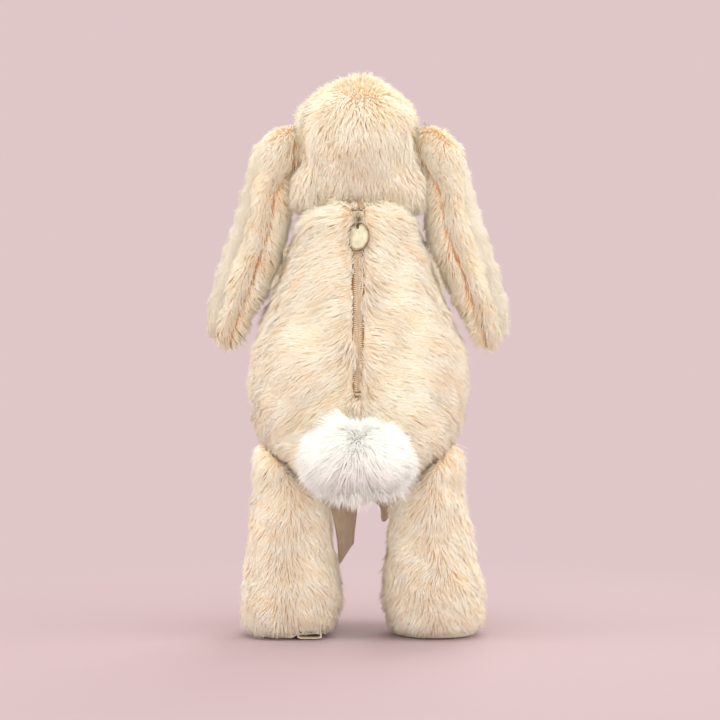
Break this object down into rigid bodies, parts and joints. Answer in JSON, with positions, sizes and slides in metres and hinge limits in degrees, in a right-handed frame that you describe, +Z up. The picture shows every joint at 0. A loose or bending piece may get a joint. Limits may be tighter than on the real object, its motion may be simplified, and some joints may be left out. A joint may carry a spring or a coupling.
{
  "type": "stuffed bunny rabbit",
  "caption": "Plush lop-eared rabbit that is also a small backpack: zipped pocket in the back, pull tag on a ring, pom-pom tail, carrying straps on the belly.",
  "frame": {"origin": "middle of the bounding box, on the surface that the soles stand on", "axes": "+Z up, +Y out of the back with the zip and tail, -Y the way the face looks, +X the rabbit's left"},
  "size_m": [0.221, 0.1812, 0.4045],
  "materials": {
    "cream_plush": "matte",
    "short_plush": "matte",
    "tail_fur": "matte",
    "filling": "matte",
    "pocket_cloth": "matte",
    "zip_tape": "matte",
    "zip_nylon": "satin",
    "champagne_metal": "satin",
    "strap_twill": "matte",
    "eye_bead": "gloss",
    "nose_thread": "satin",
    "pellets": "matte",
    "washer_plastic": "matte"
  },
  "bodies": {
    "torso": {"belly_panel": "cream_plush", "back_panel_left": "cream_plush", "back_panel_right": "cream_plush", "pocket_lining_front": "pocket_cloth", "pocket_lining_back": "pocket_cloth", "torso_stuffing": "filling", "zip_tape_left": "zip_tape", "zip_tape_right": "zip_tape", "zip_teeth_left": "zip_nylon", "zip_teeth_right": "zip_nylon", "zip_top_stop_left": "champagne_metal", "zip_top_stop_right": "champagne_metal", "zip_bottom_stop": "champagne_metal", "strap_pad_left": "strap_twill", "strap_pad_right": "strap_twill", "strap_band_left": "strap_twill", "strap_band_right": "strap_twill"},
    "head": {"head_plush": "cream_plush", "head_stuffing": "filling", "muzzle": "short_plush", "nose": "nose_thread", "eye_left": "eye_bead", "eye_right": "eye_bead", "eye_washer_left": "washer_plastic", "eye_washer_right": "washer_plastic"},
    "ear_left": {"ear_left_plush": "cream_plush", "ear_left_lining": "short_plush"},
    "ear_right": {"ear_right_plush": "cream_plush", "ear_right_lining": "short_plush"},
    "arm_left": {"arm_left": "cream_plush"},
    "arm_right": {"arm_right": "cream_plush"},
    "leg_left": {"leg_left_plush": "cream_plush", "leg_left_stuffing": "filling", "foot_pellets_left": "pellets", "sole_left": "short_plush", "strap_tail_left": "strap_twill"},
    "leg_right": {"leg_right_plush": "cream_plush", "leg_right_stuffing": "filling", "foot_pellets_right": "pellets", "sole_right": "short_plush"},
    "tail": {"tail_pompom": "tail_fur", "tail_core": "filling"},
    "zip_slider": {"zip_slider": "champagne_metal", "zip_slider_under_plate": "champagne_metal"},
    "pull_ring": {"pull_ring": "champagne_metal"},
    "pull_tag": {"pull_tag": "champagne_metal"},
    "strap_adjuster_left": {"strap_adjuster_left": "champagne_metal"},
    "strap_adjuster_right": {"strap_adjuster_right": "champagne_metal"}
  },
  "joints": [
    {"name": "head_nod", "type": "hinge", "parent": "torso", "child": "head", "pos_m": [0, -0.00537, 0.311], "axis": [1, 0, 0], "range_deg": [-15, 15]},
    {"name": "ear_left_lift", "type": "hinge", "parent": "head", "child": "ear_left", "pos_m": [0.044, -0.00537, 0.374], "axis": [0, -1, 0], "range_deg": [0, 110]},
    {"name": "ear_right_lift", "type": "hinge", "parent": "head", "child": "ear_right", "pos_m": [-0.044, -0.00537, 0.374], "axis": [0, 1, 0], "range_deg": [0, 110]},
    {"name": "arm_left_lift", "type": "hinge", "parent": "torso", "child": "arm_left", "pos_m": [0.045, -0.04237, 0.279], "axis": [-1, 0, 0], "range_deg": [0, 90]},
    {"name": "arm_right_lift", "type": "hinge", "parent": "torso", "child": "arm_right", "pos_m": [-0.045, -0.04237, 0.279], "axis": [-1, 0, 0], "range_deg": [0, 90]},
    {"name": "leg_left_sit", "type": "hinge", "parent": "torso", "child": "leg_left", "pos_m": [0.049, -0.02937, 0.124], "axis": [-1, 0, 0], "range_deg": [0, 80]},
    {"name": "leg_right_sit", "type": "hinge", "parent": "torso", "child": "leg_right", "pos_m": [-0.049, -0.02937, 0.124], "axis": [-1, 0, 0], "range_deg": [0, 80]},
    {"name": "tail_wag", "type": "hinge", "parent": "torso", "child": "tail", "pos_m": [0, 0.04213, 0.134], "axis": [1, 0, 0], "range_deg": [-15, 15]},
    {"name": "zip_slide", "type": "slide", "parent": "torso", "child": "zip_slider", "axis": [0, -0.1128, 0.9936], "range_m": [-0.118, 0]},
    {"name": "ring_swing", "type": "hinge", "parent": "zip_slider", "child": "pull_ring", "pos_m": [0, 0.03926, 0.30287], "axis": [1, 0, 0], "range_deg": [0, 95]},
    {"name": "tag_swing", "type": "hinge", "parent": "pull_ring", "child": "pull_tag", "pos_m": [0, 0.03967, 0.2993], "axis": [0.808, -0.5854, -0.0664], "range_deg": [0, 25]},
    {"name": "adjuster_left_slide", "type": "slide", "parent": "torso", "child": "strap_adjuster_left", "axis": [0, 0, 1], "range_m": [-0.014, 0.014]},
    {"name": "adjuster_right_slide", "type": "slide", "parent": "torso", "child": "strap_adjuster_right", "axis": [0, 0, 1], "range_m": [-0.014, 0.014]}
  ]
}
